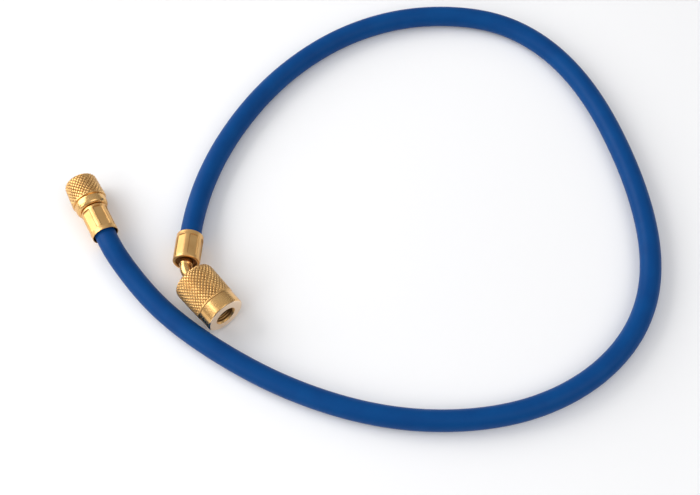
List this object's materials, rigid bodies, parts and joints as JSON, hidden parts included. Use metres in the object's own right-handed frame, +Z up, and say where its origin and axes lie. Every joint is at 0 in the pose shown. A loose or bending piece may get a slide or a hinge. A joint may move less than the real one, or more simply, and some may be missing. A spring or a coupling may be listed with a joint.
{
  "type": "refrigerant charging hose",
  "caption": "Blue rubber charging hose for refrigerant service, laid in a loose loop, with a straight fitting at one end and a 45 degree fitting at the other, each with a knurled swivel nut.",
  "frame": {"origin": "centre of the whole part's footprint, on the floor that it lies on", "axes": "+Z up from the floor, -Y out of the mouth of the nut on the 45 degree fitting, +X to the right of that mouth's back"},
  "size_m": [0.2851, 0.2738, 0.024],
  "materials": {
    "blue_rubber": "smooth satin, faint moulded grain",
    "brass": "bright turned brass, knurled grips, satin crimp flats",
    "black_rubber": "matt seal rubber"
  },
  "bodies": {
    "hose_assembly": {"hose": "blue_rubber", "straight_ferrule": "brass", "straight_stem": "brass", "straight_gasket": "black_rubber", "angled_ferrule": "brass", "angled_stem": "brass", "angled_gasket": "black_rubber", "core_depressor": "brass"},
    "straight_nut": {"straight_nut": "brass"},
    "angled_nut": {"angled_nut": "brass"}
  },
  "joints": [
    {"name": "straight_nut_swivel", "type": "hinge", "parent": "hose_assembly", "child": "straight_nut", "pos_m": [-0.12439, 0.13527, 0.0097], "axis": [0.2334, 0.9724, 0], "continuous": true},
    {"name": "angled_nut_swivel", "type": "hinge", "parent": "hose_assembly", "child": "angled_nut", "pos_m": [-0.1144, 0.0178, 0.012], "axis": [0, -1, 0], "continuous": true}
  ]
}
